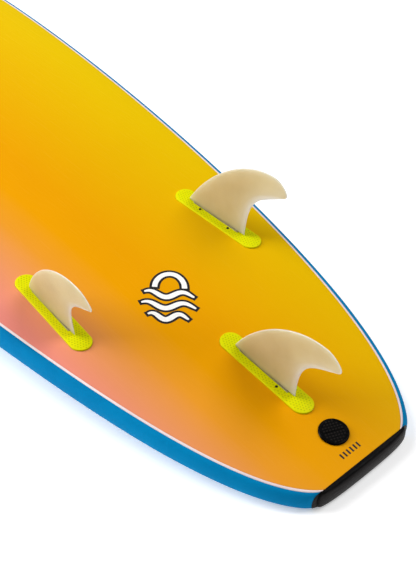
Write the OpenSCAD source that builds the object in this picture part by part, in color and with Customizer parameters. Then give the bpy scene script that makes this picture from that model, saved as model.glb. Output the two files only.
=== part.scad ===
// Soft-top surfboard with three removable fins, lying on its deck with the bottom up.
// X runs across the board, +Y runs from tail to nose and +Z points up, out of the slick bottom.
// The origin is on the floor under the middle of the board.

/* [Board] */
// Overall length, from the back of the tail bumper to the tip of the nose
board_len = 2134; // [2000:1:2300]
// Half-width of the slick bottom at its widest place
slick_half = 273; // [250:1:290]
// Distance from the tail to the widest place
wide_at = 1150; // [1000:10:1250]
// Thickness on the centreline at the thickest place
thick_mid = 83; // [75:1:95]
// Thickness of the rail halfway along
rail_mid = 46; // [40:1:52]
// How far the bottom curves away at the tail
tail_rocker = 57.5; // [45:0.5:70]
// How far the bottom curves away at the nose
nose_rocker = 105; // [80:1:130]

/* [Tail and nose] */
// Thickness at the tail
tail_thick = 28; // [26:1:32]
// Thickness at the nose
nose_thick = 24; // [22:1:28]
// How far the tail bumper stands out behind the slick
bumper_out = 10; // [8:0.5:16]

/* [Skins and core] */
// Thickness of the slick bottom sheet
slick_t = 1.2; // [1:0.1:2]
// Thickness of the foam deck skin
deck_t = 5; // [4:0.5:6]
// Width of the pale edge band round the slick
band_w = 4; // [3:0.5:5]
// How far the rail foam bulges past the edge band
rail_bulge = 9.5; // [7:0.5:12]
// Thickness of each stringer
stringer_t = 5; // [3:0.5:6]
// Distance of the outer stringers from the centreline
stringer_x = 95; // [90:1:105]

/* [Fins] */
// Length of the fin at its root
fin_chord = 112; // [100:1:116]
// Height of the fin over its root
fin_tall = 122.5; // [105:0.5:130]
// Greatest thickness of the fin
fin_thick = 7; // [6:0.5:8]
// Length of the tab that goes into the box
tab_len = 90; // [80:1:94]
// Thickness of the tab
tab_t = 6.4; // [5.5:0.1:6.6]
// Depth of the tab below the slick
tab_deep = 15; // [12:1:16]
// Distance of the centre fin from the tail
center_fin_at = 174.8; // [165:0.1:200]
// Distance of the side fins from the tail
side_fin_at = 432.6; // [400:0.1:460]
// Distance of the side fins from the centreline
side_fin_x = 152.7; // [145:0.1:160]
// Toe-in of the side fins, in degrees
toe = 3.8; // [0:0.1:5]
// Outward lean of the side fins, in degrees
cant = 6.3; // [0:0.1:8]

/* [Fin boxes] */
// Length of the fin box plate
plate_len = 165.4; // [150:0.1:175]
// Width of the fin box plate
plate_w = 31.9; // [28:0.1:36]
// How far the plate stands out of the slick
plate_proud = 2; // [1:0.1:3]
// Distance of the grub screws from the fin
screw_off = 7; // [6.8:0.1:7.5]

/* [Leash plug] */
// Diameter of the leash plug's cap on the slick
cap_d = 40.6; // [36:0.1:44]
// Distance of the cap from the tail
cap_at = 50.1; // [46:0.1:60]

/* [Hidden] */
$fn = 64;
bond = 0.6;             // glue line between foam pieces
tall = 200;             // taller than any part of the board
below = 10;             // where tools that cut through everything start, under the floor
tail_steps = 24;        // sections from the tail to the widest place
nose_steps = 20;        // sections from the widest place to the nose
rail_steps = 8;         // points round the rail's outside
deck_steps = 6;         // facets across half of the deck

// Lengths along the board are measured from the slick's tail edge.
slick_len = board_len - bumper_out - band_w - rail_bulge;
to_middle = board_len / 2 - bumper_out;
rocker_mid = 1050;      // the highest place of the bottom
nose_curl = 2.6;        // how late the nose starts to curve away
rail_power = 2;         // how evenly the rails thin out towards the ends
thick_power = 2.4;      // how evenly the board thins out towards the ends
tail_half_shift = 15.8; // squares the tail off instead of ending it in a point
tail_crowding = 1.8;    // how closely the sections crowd towards the tail
tail_power = [1.396, 0.338];
nose_power = [2.3, 0.5];
// The board lies level when its tail and its nose both touch the floor.
tilt = (nose_rocker + nose_thick - tail_rocker - tail_thick) / slick_len;
wall = 12;              // width of the rail foam under the slick
lip = 0.9;              // drop of the edge band at its outer edge
band_t = 4.2;           // depth of the edge band

function drop(s) = s < rocker_mid
    ? tail_rocker * pow(1 - s / rocker_mid, 2)
    : nose_rocker * pow((s - rocker_mid) / (slick_len - rocker_mid), nose_curl);
function bottom_z(s) = tail_thick + tail_rocker + tilt * s - drop(s);
function slope(s) = atan((bottom_z(s + 1) - bottom_z(s - 1)) / 2);
function ends(s, tail, mid, nose, power) = s < rocker_mid
    ? mid - (mid - tail) * pow(1 - s / rocker_mid, power)
    : mid - (mid - nose) * pow((s - rocker_mid) / (slick_len - rocker_mid), power);
function rail_thick(s) = ends(s, tail_thick, rail_mid, nose_thick, rail_power);
function full_thick(s) = ends(s, tail_thick, thick_mid, nose_thick, thick_power);

function half_width(s) = s < wide_at
    ? half_share((wide_at - s) / (wide_at + tail_half_shift), tail_power)
    : half_share((s - wide_at) / (slick_len - wide_at), nose_power);
function half_share(way, power) = slick_half * pow(max(0, 1 - pow(way, power[0])), power[1]);
stations = [
    for (i = [0 : tail_steps]) wide_at * pow(i / tail_steps, tail_crowding),
    for (i = [1 : nose_steps]) wide_at + (slick_len - wide_at) * sin(90 * i / nose_steps)
];
last = len(stations) - 1;
function at(i) = [half_width(stations[i]), stations[i]];
turn_len = 20;          // over this length from the tail, the sections turn from square to normal
// Outward direction of the outline, turned square to the board at the tail, where the bumper joins.
function outward(i) =
    i == 0 ? [1, 0]
    : i == last ? [0, 1]
    : let (
        along = at(i + 1) - at(i - 1),
        n = [along[1], -along[0] * min(1, stations[i] / turn_len)])
        n / norm(n);
function beside(i, out) = at(i) + out * outward(i);
tip_x = 10;             // sections narrower than this are left out of solids that close at the nose

// A solid through closed rings that all have the same even number of points, first half facing second half.
module loft(rings) {
    n = len(rings[0]);
    m = len(rings);
    polyhedron(
        points = [for (ring = rings) each ring],
        faces = [
            for (j = [0 : n / 2 - 2], half = [0, 1])
                half == 0 ? [j, j + 1, n - 1 - j] : [j + 1, n - 2 - j, n - 1 - j],
            for (j = [0 : n / 2 - 2], half = [0, 1])
                let (a = (m - 1) * n + j, b = (m - 1) * n + n - 1 - j)
                half == 0 ? [a, b, a + 1] : [a + 1, b, b - 1],
            for (i = [0 : m - 2], j = [0 : n - 1], half = [0, 1])
                let (a = i * n + j, b = i * n + (j + 1) % n)
                half == 0 ? [a, a + n, b] : [b, a + n, b + n]
        ],
        convexity = 6);
}

module from_tail() {
    translate([0, -to_middle, 0]) children();
}

module mirrored(side) {
    if (side < 0) mirror([1, 0, 0]) children();
    else children();
}

// The board's surfaces run on level past the slick's nose.
function level_s(s) = min(s, slick_len);

// Height of the deck's outer face at u, the share of the half-width from the centreline.
function deck_z(along, u) = let (s = level_s(along))
    bottom_z(s) - rail_thick(s) - (full_thick(s) - rail_thick(s)) * (1 - u * u);
function deck_line(s, x, edge) = [
    for (k = [0 : deck_steps]) deck_z(s, k / deck_steps * x / edge)
];

function flat_ring(x, y, top, under) = [
    for (k = [-deck_steps : deck_steps]) [x * k / deck_steps, y, top],
    for (k = [deck_steps : -1 : -deck_steps]) [x * k / deck_steps, y, under[abs(k)]]
];

// The foam inside the skins, before it is cut into strips.
module core_blank() {
    rings = [
        for (i = [0 : last])
            let (
                p = beside(i, -wall - bond / 2),
                under = deck_line(p[1], p[0], beside(i, band_w)[0]))
            if (p[0] > tip_x)
                flat_ring(p[0], p[1], bottom_z(p[1]) - slick_t - bond, [for (z = under) z + deck_t + bond])
    ];
    from_tail() loft(rings);
}

tail_core_len = 275;
module strip(x0, x1, s0, s1) {
    intersection() {
        core_blank();
        from_tail() translate([x0, s0, -below]) cube([x1 - x0, s1 - s0, tall]);
    }
}

half_gap = stringer_t / 2 + bond / 4;
module core_inner(side) {
    color("white") mirrored(side)
        strip(half_gap, stringer_x - half_gap, tail_core_len + bond / 2, board_len);
}

module core_outer(side) {
    color("white") mirrored(side) difference() {
        strip(stringer_x + half_gap, slick_half, -below, board_len);
        pocket(1);
    }
}

module core_tail() {
    color("white") difference() {
        strip(-stringer_x + half_gap, stringer_x - half_gap, -below, tail_core_len);
        pocket(0);
        on_slick(cap_at, 0) translate([0, 0, -tall / 2]) cylinder(d = neck_d + 1, h = tall);
        cup_place() translate([0, 0, -below]) cylinder(d = cup_flange_d + 1, h = cup_tall + below + 1);
    }
}

// A plywood sheet on edge, from the slick to the deck skin.
module stringer(x0, from_s) {
    inside = [
        for (i = [1 : last - 1])
            let (p = beside(i, -wall - bond))
            if (p[0] > abs(x0) + tip_x && p[1] > from_s) [p[1], x0 / beside(i, band_w)[0]]
    ];
    top = [for (q = inside) [q[0], bottom_z(q[0]) - slick_t - bond]];
    low = [for (q = inside) [q[0], deck_z(q[0], q[1]) + deck_t + 2 * bond]];
    color("burlywood") from_tail() translate([x0 - stringer_t / 2, 0, 0])
        rotate([90, 0, 90]) linear_extrude(stringer_t)
            polygon(concat(top, [for (i = [len(low) - 1 : -1 : 0]) low[i]]));
}

// The foam sheet that the rider stands on.
module deck_skin() {
    rings = [
        for (i = [0 : last])
            let (p = beside(i, band_w), under = deck_line(p[1], 1, 1))
            if (p[0] > tip_x) [
                for (k = [-deck_steps : deck_steps])
                    [p[0] * k / deck_steps, p[1], under[abs(k)] + deck_t],
                for (k = [deck_steps : -1 : -deck_steps])
                    [p[0] * k / deck_steps, p[1], under[abs(k)]]
            ]
    ];
    color("deepskyblue") difference() {
        from_tail() loft(rings);
        cup_place() translate([0, 0, -below]) cylinder(d = cup_flange_d + bond, h = 3 * below);
    }
}

// The rail is a little thinner outwards at the tail.
tail_bulge = 0.75;      // share of the bulge at the very tail
full_bulge_at = 200;
function bulge(s) = rail_bulge * min(1, tail_bulge + (1 - tail_bulge) * s / full_bulge_at);

// Closed outline of the rail foam at a station: distance out from the slick's edge, and height.
function rail_outline(i) = let (
        s = stations[i],
        thick = rail_thick(s),
        u = max(0, (at(i)[0] - wall) / (at(i)[0] + band_w)),
        b = (thick - lip) / 2)
    [
        [-wall, -band_t - bond],
        [band_w + bond / 2, -band_t - bond],
        [band_w + bond, -lip],
        for (k = [1 : rail_steps])
            let (t = 90 - 180 * k / (rail_steps + 1))
            [band_w + bond + (bulge(s) - bond) * cos(t), -lip - b + b * sin(t)],
        [band_w + bond, -thick],
        [band_w + bond / 2, -thick + deck_t + bond],
        [-wall, -thick - (full_thick(s) - thick) * (1 - u * u) + deck_t + bond]
    ];

module along_edge(side, outlines) {
    rings = [
        for (i = [0 : last])
            [for (q = outlines[i])
                let (p = beside(i, q[0]))
                [p[0], p[1], bottom_z(level_s(p[1])) + q[1]]]
    ];
    from_tail() mirrored(side) loft(rings);
}

module rail(side) {
    color("deepskyblue") intersection() {
        along_edge(side, [for (i = [0 : last]) rail_outline(i)]);
        half_space(side);
    }
}

// Everything on one side of the centreline.
module half_space(side) {
    mirrored(side) translate([0, -board_len / 2, -below]) cube([board_len / 2, board_len, tall]);
}

module edge_band(side) {
    outline = [[bond / 4, -band_t], [bond / 4, 0], [band_w, -lip], [band_w, -band_t]];
    color("mistyrose") intersection() {
        along_edge(side, [for (i = [0 : last]) outline]);
        half_space(side);
    }
}

module plate_outline(grow) {
    round_at = (plate_len - plate_w) / 2;
    for (end = [-1, 1]) translate([0, end * round_at - plate_shift, 0]) circle(d = plate_w + 2 * grow);
    translate([-plate_w / 2 - grow, -round_at - plate_shift, 0]) square([plate_w + 2 * grow, 2 * round_at]);
}

// The slick sheet, following the rocker and cut to the outline.
module bottom_slick() {
    side_view = [
        for (s = stations) [s, bottom_z(s)],
        for (i = [last : -1 : 0]) [stations[i], bottom_z(stations[i]) - slick_t]
    ];
    plan = [for (i = [0 : last]) at(i), for (i = [last - 1 : -1 : 0]) [-at(i)[0], at(i)[1]]];
    color("orange") difference() {
        from_tail() intersection() {
            translate([-slick_half - below, 0, 0]) rotate([90, 0, 90])
                linear_extrude(2 * (slick_half + below)) polygon(side_view);
            linear_extrude(tall) polygon(plan);
        }
        for (which = [-1, 0, 1])
            fin_place(which) translate([0, 0, -below]) linear_extrude(2 * below) plate_outline(plate_gap);
        on_slick(cap_at, 0) translate([0, 0, -below]) cylinder(d = neck_d + bond, h = 2 * below);
    }
}

// The black foam piece across the tail.
bumper_layers = 8;
bumper_round = 12;      // points round each of its ends
bumper_flat = 3.5;      // how far its flat top and underside stand out
bumper_face = 2.3;      // how square its outer face is, where 2 is an ellipse
bumper_corner = 0.7;    // how square its ends are across the board, where 1 is an ellipse
bumper_back = 0.8;      // and along the board
band_turn = 3;          // how soon it reaches the edge bands' width
module tail_bumper() {
    top = bottom_z(0);
    wide = half_width(0);
    rings = [
        for (v = [0 : bumper_layers])
            let (
                level = v / bumper_layers,
                swell = pow(1 - pow(abs(2 * level - 1), bumper_face), 1 / bumper_face),
                x = wide + band_w * min(1, band_turn * swell) + bulge(0) * swell,
                out = bumper_flat + (bumper_out - bumper_flat) * swell)
            [
                for (k = [0 : 2 * bumper_round])
                    let (t = 90 * k / bumper_round, across = cos(t), back = abs(sin(t)))
                    [-sign(across) * x * pow(abs(across), bumper_corner),
                        -bond / 2 - (out - bond / 2) * pow(back, bumper_back),
                        top * level],
                [0, -bond / 2, top * level]
            ]
    ];
    color("black") from_tail() loft(rings);
}

module on_slick(s, x) {
    from_tail() translate([x, s, bottom_z(s)]) rotate([slope(s), 0, 0]) children();
}

// Places a fin box: which is -1 for left, 0 for centre and 1 for right.
module fin_place(which) {
    on_slick(which == 0 ? center_fin_at : side_fin_at, which * side_fin_x)
        rotate([0, 0, which * toe]) children();
}

module leaned(which) {
    rotate([0, which * cant, 0]) children();
}

plate_shift = 2.4;      // the plate reaches further back than forward of the slot
plate_gap = 0.4;        // joint between the plate and the slick
box_len = 120;
box_w = 22;
box_deep = 19;
box_top = -0.5;         // top of the box under its plate
slot_gap = 0.15;
slot_floor = 1;         // room under the tab
module pocket(which) {
    fin_place(which) leaned(which) translate([-box_w / 2 - bond, -box_len / 2 - bond, -box_deep - bond])
        cube([box_w + 2 * bond, box_len + 2 * bond, box_deep + 2 * below]);
}

screw_d = 4;
screw_len = 6;
screw_tilt = 12;
screw_sink = 0.8;       // depth of the screw's end under the mouth of its hole
screw_mouth = 0.4;      // the hole's axis is set this far over the plate's face
screw_fit = 0.1;        // how much wider the hole is
screw_hole = 11;        // depth of the hole
key_w = 2.3;            // width across the corners of the screw's socket
key_deep = 2.4;
screw_at = [28, -29];   // front and rear screw, measured forward from the middle of the box
// The side of the fin on which a screw sits: inboard on side boxes, one each side on the centre box.
function screw_side(which, end) = which == 0 ? (end == 0 ? 1 : -1) : -which;
module screw_place(which, end) {
    side = screw_side(which, end);
    fin_place(which) leaned(which) translate([side * screw_off, screw_at[end], plate_proud + screw_mouth])
        rotate([0, side * screw_tilt, 0]) children();
}

module fin_box(which) {
    color("yellow") difference() {
        union() {
            fin_place(which) translate([0, 0, -slick_t])
                linear_extrude(slick_t + plate_proud) plate_outline(0);
            fin_place(which) leaned(which) translate([-box_w / 2, -box_len / 2, -box_deep])
                cube([box_w, box_len, box_deep + box_top]);
        }
        fin_place(which) leaned(which)
            translate([-tab_t / 2 - slot_gap, -tab_len / 2 - slot_gap, -tab_deep - slot_floor])
                cube([tab_t + 2 * slot_gap, tab_len + 2 * slot_gap, tab_deep + 2 * below]);
        for (end = [0, 1])
            screw_place(which, end) translate([0, 0, -screw_hole])
                cylinder(d = screw_d + screw_fit, h = screw_hole + below);
    }
}

module grub_screw(which, end) {
    color("dimgray") screw_place(which, end) translate([0, 0, -screw_sink - screw_len]) difference() {
        cylinder(d = screw_d, h = screw_len);
        translate([0, 0, screw_len - key_deep]) cylinder(d = key_w, h = 2 * key_deep, $fn = 6);
    }
}

function bezier(p, t) = let (r = 1 - t)
    r * r * r * p[0] + 3 * r * r * t * p[1] + 3 * r * t * t * p[2] + t * t * t * p[3];

// Fin outline as shares of the chord, forward, and of the height, up, over the middle of the root.
front_curve = [[0.5, 0], [0.27, 0.493], [-0.24, 1.001], [-0.786, 1]];
tip_curve = [[-0.786, 1], [-0.9, 1], [-1.085, 0.873], [-0.99, 0.816]];
back_curve = [[-0.5, 0], [-0.44, 0.602], [-0.627, 0.59], [-0.99, 0.816]];
front_steps = 10;
tip_steps = 4;
foil_steps = 6;
foil_edge = 0.4;        // half the thickness of the edges
foil_fullness = 2.6;
foil_crowding = 1.6;    // how closely the foil's points crowd towards the leading edge
tip_thinning = 0.72;    // share of the thickness lost at the tip
thinning_power = 1.5;
tip_reach = 0.93;       // the sections stop this far round the tip, and at this share of the back
back_reach = 0.985;
back_crowding = 0.9;
fin_gap = 2.8;          // height of the fin's root over the slick
function scaled(p) = [p[0] * fin_chord, p[1] * fin_tall];
function fin_ring(front, back, thick) = [
    for (k = [0 : foil_steps]) foil_point(front, back, pow(k / foil_steps, foil_crowding), thick, -1),
    for (k = [foil_steps : -1 : 0]) foil_point(front, back, pow(k / foil_steps, foil_crowding), thick, 1)
];
function foil_point(front, back, c, thick, side) = let (
        p = front + (back - front) * c,
        h = foil_edge + (thick / 2 - foil_edge) * foil_fullness * sqrt(c) * (1 - c))
    [side * h, p[0], p[1]];

module foil() {
    steps = front_steps + tip_steps;
    loft([
        for (i = [0 : steps])
            let (
                front = i <= front_steps
                    ? bezier(front_curve, i / front_steps)
                    : bezier(tip_curve, (i - front_steps) / tip_steps * tip_reach),
                back = bezier(back_curve, pow(i / steps, back_crowding) * back_reach),
                thick = fin_thick * (1 - tip_thinning * pow(i / steps, thinning_power)))
            fin_ring(scaled(front), scaled(back), thick)
    ]);
}

tab_bite = 0.3;         // the tab runs this far into the foil
module fin(which) {
    color("wheat") fin_place(which) leaned(which) union() {
        translate([0, 0, fin_gap]) foil();
        translate([-tab_t / 2, -tab_len / 2, -tab_deep])
            cube([tab_t, tab_len, tab_deep + fin_gap + tab_bite]);
    }
}

// The leash plug: a cup in the deck, a bar across it, and a cap on the slick that screws into the cup.
cup_flange_d = 38;
cup_d = 27;
cup_inside_d = 22;
cup_tall = 15;
cup_floor = 2.5;
cup_flange_t = 2.4;
neck_d = 17;
stub_d = 11.8;
stub_bore_d = 12;
bar_d = 5;
bar_z = 5;
bar_end = 1;            // wall left outside each end of the bar
bar_fit = 0.1;
cup_lift = 0.6;         // the flange stays this far over the floor
neck_bite = 1.5;        // the neck runs this far into the cup
module cup_place() {
    rise = bottom_z(cap_at) - cup_tall;
    from_tail() translate([0, cap_at + rise * tan(slope(cap_at)), cup_lift]) children();
}

module leash_cup() {
    neck_len = bottom_z(cap_at) - cup_tall + neck_bite;
    color("dimgray") difference() {
        union() {
            cup_place() cylinder(d = cup_flange_d, h = cup_flange_t);
            cup_place() cylinder(d = cup_d, h = cup_tall);
            on_slick(cap_at, 0) translate([0, 0, -neck_len]) cylinder(d = neck_d, h = neck_len);
        }
        cup_place() translate([0, 0, -1]) cylinder(d = cup_inside_d, h = cup_tall - cup_floor + 1);
        on_slick(cap_at, 0) translate([0, 0, 1 - neck_len]) cylinder(d = stub_bore_d, h = neck_len + below);
        cup_place() translate([-cup_d / 2 + bar_end - bar_fit, 0, bar_z]) rotate([0, 90, 0])
            cylinder(d = bar_d + bar_fit, h = cup_d - 2 * (bar_end - bar_fit));
    }
}

module leash_bar() {
    color("silver") cup_place() translate([-cup_d / 2 + bar_end, 0, bar_z]) rotate([0, 90, 0])
        cylinder(d = bar_d, h = cup_d - 2 * bar_end);
}

cap_lift = 0.3;         // the cap stays this far over the slick
cap_t = 3;
cap_bevel = [1.5, 1];   // across and down
cap_slot = [26, 2, 1.2];
stub_len = 14;
module leash_cap() {
    color("black") on_slick(cap_at, 0) difference() {
        union() {
            translate([0, 0, cap_lift]) cylinder(d = cap_d, h = cap_t - cap_bevel[1]);
            translate([0, 0, cap_lift + cap_t - cap_bevel[1]])
                cylinder(d1 = cap_d, d2 = cap_d - 2 * cap_bevel[0], h = cap_bevel[1]);
            translate([0, 0, -stub_len]) cylinder(d = stub_d, h = stub_len + cap_lift + 1);
        }
        translate([0, 0, cap_lift + cap_t]) cube([cap_slot[0], cap_slot[1], 2 * cap_slot[2]], center = true);
    }
}

core_tail();
core_inner(-1);  // core_left_inner
core_outer(-1);  // core_left_outer
core_inner(1);  // core_right_inner
core_outer(1);  // core_right_outer
stringer(-stringer_x, 0);  // stringer_left
stringer(0, tail_core_len);  // stringer_center
stringer(stringer_x, 0);  // stringer_right
deck_skin();
rail(-1);  // rail_left
rail(1);  // rail_right
bottom_slick();
edge_band(-1);  // edge_band_left
edge_band(1);  // edge_band_right
tail_bumper();
fin_box(-1);  // fin_box_left
fin_box(0);  // fin_box_center
fin_box(1);  // fin_box_right
fin(-1);  // fin_left
fin(0);  // fin_center
fin(1);  // fin_right
grub_screw(-1, 0);  // screw_left_front
grub_screw(-1, 1);  // screw_left_rear
grub_screw(0, 0);  // screw_center_front
grub_screw(0, 1);  // screw_center_rear
grub_screw(1, 0);  // screw_right_front
grub_screw(1, 1);  // screw_right_rear
leash_cup();
leash_bar();
leash_cap();
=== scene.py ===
"""Soft-top surfboard with three fins, lying on its deck with the slick bottom up.

Lengths are in millimetres until a mesh is made. s is the distance from the slick's tail edge,
and out is the distance outwards from the slick's edge.
"""

import math

import bmesh
import bpy
from mathutils import Matrix, Vector


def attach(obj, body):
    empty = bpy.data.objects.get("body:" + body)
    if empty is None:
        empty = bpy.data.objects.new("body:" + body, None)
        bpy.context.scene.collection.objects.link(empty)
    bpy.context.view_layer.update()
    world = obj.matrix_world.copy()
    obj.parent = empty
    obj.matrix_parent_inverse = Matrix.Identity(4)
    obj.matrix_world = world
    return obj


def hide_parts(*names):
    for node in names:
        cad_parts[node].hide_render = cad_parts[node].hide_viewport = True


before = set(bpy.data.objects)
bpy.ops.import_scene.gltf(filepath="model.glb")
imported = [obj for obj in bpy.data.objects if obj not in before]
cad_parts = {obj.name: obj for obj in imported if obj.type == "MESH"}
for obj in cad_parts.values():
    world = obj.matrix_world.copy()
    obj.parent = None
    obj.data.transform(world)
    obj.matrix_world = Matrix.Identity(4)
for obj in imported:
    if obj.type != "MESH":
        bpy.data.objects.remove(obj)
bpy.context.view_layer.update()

MM = 0.001

# Board outline and thickness
BOARD_LEN = 2134
BUMPER_OUT = 10
BAND_W = 4
BAND_SEEN = 3.4
BAND_GAP = 0.2
RAIL_BULGE = 9.5
RAIL_FULL_AT = 200
RAIL_TAIL_SHARE = 0.75
RAIL_POWER = 0.9
SLICK_LEN = BOARD_LEN - BUMPER_OUT - BAND_W - RAIL_BULGE
TO_MIDDLE = BOARD_LEN / 2 - BUMPER_OUT
SLICK_HALF = 273
WIDE_AT = 1150
ROCKER_MID = 1050
TAIL_ROCKER = 57.5
NOSE_ROCKER = 105
NOSE_CURL = 2.6
TAIL_THICK = 28
NOSE_THICK = 24
RAIL_MID = 46
THICK_MID = 83
RAIL_THICK_POWER = 2
THICK_POWER = 2.4
TAIL_SHIFT = 15.8
TAIL_POWER = (1.396, 0.338)
NOSE_POWER = (2.3, 0.5)
TILT = (NOSE_ROCKER + NOSE_THICK - TAIL_ROCKER - TAIL_THICK) / SLICK_LEN
TURN_LEN = 20
TAIL_STEPS = 64
TAIL_CROWDING = 1.8
NOSE_STEPS = 60

# Skins
SLICK_T = 1.2
SLICK_EDGE = ((1.2, 0), (0.4, 0.08), (0, 0.35))
DECK_T = 5
WALL = 12
LIP = 0.9
BAND_T = 4.2
BOND = 0.6
SLICK_GAP = 0.25
ROUND_HOLE_GAP = 0.6

# Tail bumper
BUMPER_FLAT = 3.5
BUMPER_GAP = 0.3
BUMPER_SIDE_POWER = 2.3
BUMPER_BACK_POWER = 0.8
BUMPER_CORNER = 0.7
BUMPER_WRAP = 4.6
BUMPER_WRAP_MIN = 0.6
BUMPER_WRAP_POWER = 5
BUMPER_WRAP_T = 2.5
BUMPER_OVER_RAIL = 0.35

# Fins and their boxes
FIN_CHORD = 112
FIN_TALL = 122.5
FIN_THICK = 7
FIN_EDGE = 0.4
FOIL_CROWDING = 1.6
FIN_FULLNESS = 2.6
FIN_TIP_THINNING = 0.72
FIN_THINNING_POWER = 1.5
FIN_GAP = 2.8
FRONT_STEPS = 40
TIP_STEPS = 14
FRONT_REACH = 0.97
BACK_REACH = 0.992
THIN_BELOW = 1.1
FRONT_CURVE = ((0.5, 0), (0.27, 0.493), (-0.24, 1.001), (-0.786, 1))
TIP_CURVE = ((-0.786, 1), (-0.9, 1), (-1.085, 0.873), (-0.99, 0.816))
BACK_CURVE = ((-0.5, 0), (-0.44, 0.602), (-0.627, 0.59), (-0.99, 0.816))
TAB_LEN = 90
TAB_T = 6.4
TAB_DEEP = 15
CENTER_FIN_AT = 174.8
SIDE_FIN_AT = 432.6
SIDE_FIN_X = 152.7
TOE = 3.8
CANT = 6.3
PLATE_LEN = 165.4
PLATE_W = 31.9
PLATE_PROUD = 2
PLATE_SHIFT = 2.4
BOX_SIZE = (22, 120, 19)
SLOT_GAP = 0.15
SCREW_OFF = 7
SCREW_AT = {"front": 28, "rear": -29}
SCREW_TILT = 12
SCREW_D = 4
SCREW_HOLE = (-11, 4)
DOT_PITCH = 4.2
DOT_ROW_SHARE = 0.87
DOT_D = 2.0
DOT_TALL = 0.35
DOT_RINGS = ((1, -0.1), (0.8, DOT_TALL * 0.7), (0.4, DOT_TALL))
DOT_TO_EDGE = 1.9
DOT_TO_SLOT = 1.3
DOT_TO_SCREW = 3.4

# Leash plug
CAP_D = 40.6
CAP_AT = 50.1
CAP_T = 3
CAP_FLOOR = CAP_T - 0.35
CAP_SLOT = (26, 2)
CAP_TURN = -22
NECK_D = 17
STUB_D = 11.8
STUB_LEN = 14
THREAD_PITCH = 1.5
THREAD_DEEP = 0.6
CUP_FLANGE_D = 38
CUP_TALL = 15
CUP_ABOVE_FLOOR = 0.6
STUD_PITCH = 4.2
STUD_W = 2.7
STUD_BASE = CAP_T - 0.5
STUD_TALL = 0.75
STUD_TAPER = 0.35
STUDS_OFF_SLOT = 0.4
STUDS_REACH = CAP_D / 2 - 4.4

# Printed marks
EMBLEM_AT = (-10.5, 353.5)
EMBLEM_W = 76
EMBLEM_TURN = -43
EMBLEM_OUTLINE = 3.6
SUN_RADII = (21, 27)
SUN_LEVEL = 17
SUN_STROKE = 7.5
SWELL_STROKE = (2.5, 6)
SWELL_TALL = 5.5
SWELLS = ((4, 0.92), (-17, 1.0), (-38, 0.74))
STROKE_STEPS = 48
BAR_COUNT = 6
BAR_W = 2.6
BAR_PITCH = 6
BARS_FROM = -20
BAR_ROWS = (14.5, 18.5, 22.5)
INK_LIFT = 0.12

# Studio: lights as name, azimuth, elevation, size in metres and power in watts
FLOOR_SIZE = 30000
FLOOR_STEPS = 24
FLOOR_Z = -0.3
WORLD_STRENGTH = 0.2
LIGHT_AIM = (0, -0.35, 0.08)
LIGHT_DISTANCE = 5
LIGHTS = (
    ("key", -152, 56, 2.4, 126),
    ("fill", 58, 52, 2.4, 114),
    ("side", -138, 21, 2.6, 270),
)
CAMERA_AT = (-0.73673, -1.55983, 1.09503)
CAMERA_AZIMUTH = -43.24
CAMERA_ELEVATION = 41.74
CAMERA_ROLL = 0.793
CAMERA_LENS = 70.06
CAMERA_SHIFT = (-0.00496, 0.0029)

SIDES = {"left": -1, "center": 0, "right": 1}


# --- Shape of the board ---------------------------------------------------------------------


def drop(s):
    """How far the rocker lowers the slick at each end."""
    if s < ROCKER_MID:
        return TAIL_ROCKER * (1 - s / ROCKER_MID) ** 2
    return NOSE_ROCKER * ((s - ROCKER_MID) / (SLICK_LEN - ROCKER_MID)) ** NOSE_CURL


def slick_z(s):
    return TAIL_THICK + TAIL_ROCKER + TILT * s - drop(s)


def slope(s):
    return math.atan((slick_z(s + 1) - slick_z(s - 1)) / 2)


def from_ends(s, tail, middle, nose, power):
    """A measure that eases from its tail value to its middle value and on to the nose."""
    if s < ROCKER_MID:
        return middle - (middle - tail) * (1 - s / ROCKER_MID) ** power
    return middle - (middle - nose) * ((s - ROCKER_MID) / (SLICK_LEN - ROCKER_MID)) ** power


def rail_thick(s):
    return from_ends(s, TAIL_THICK, RAIL_MID, NOSE_THICK, RAIL_THICK_POWER)


def full_thick(s):
    return from_ends(s, TAIL_THICK, THICK_MID, NOSE_THICK, THICK_POWER)


def half_width(s):
    if s < WIDE_AT:
        inner = ((WIDE_AT - s) / (WIDE_AT + TAIL_SHIFT)) ** TAIL_POWER[0]
        return SLICK_HALF * (1 - inner) ** TAIL_POWER[1]
    inner = ((s - WIDE_AT) / (SLICK_LEN - WIDE_AT)) ** NOSE_POWER[0]
    return SLICK_HALF * max(0, 1 - inner) ** NOSE_POWER[1]


def make_stations():
    tail = [WIDE_AT * (i / TAIL_STEPS) ** TAIL_CROWDING for i in range(TAIL_STEPS)]
    quarter = math.pi / 2
    nose = [
        WIDE_AT + (SLICK_LEN - WIDE_AT) * math.sin(quarter * i / NOSE_STEPS)
        for i in range(NOSE_STEPS + 1)
    ]
    return tail + nose


STATIONS = make_stations()
EDGE = [Vector((half_width(s), s)) for s in STATIONS]


def outward(i):
    """Outward direction of the outline, turned square to the board at the tail."""
    if i == 0:
        return Vector((1, 0))
    if i == len(EDGE) - 1:
        return Vector((0, 1))
    along = EDGE[i + 1] - EDGE[i - 1]
    return Vector((along[1], -along[0] * min(1, STATIONS[i] / TURN_LEN))).normalized()


OUTWARD = [outward(i) for i in range(len(EDGE))]


def beside(i, out):
    return EDGE[i] + OUTWARD[i] * out


def edge_at(s, out):
    """A point beside the outline between two of the stations near the tail."""
    i = max(k for k in range(10) if STATIONS[k] <= s)
    share = (s - STATIONS[i]) / (STATIONS[i + 1] - STATIONS[i])
    return tuple(beside(i, out).lerp(beside(i + 1, out), share))


def deck_z(along, u):
    """Height of the deck side at a share u of the way across, from -1 to 1."""
    s = min(along, SLICK_LEN)
    rise = (full_thick(s) - rail_thick(s)) * (1 - u * u)
    return slick_z(s) - rail_thick(s) - rise


def on_board(x, s, z):
    """A point of the board in the frame's millimetres."""
    return Vector((x, s - TO_MIDDLE, z))


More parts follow.
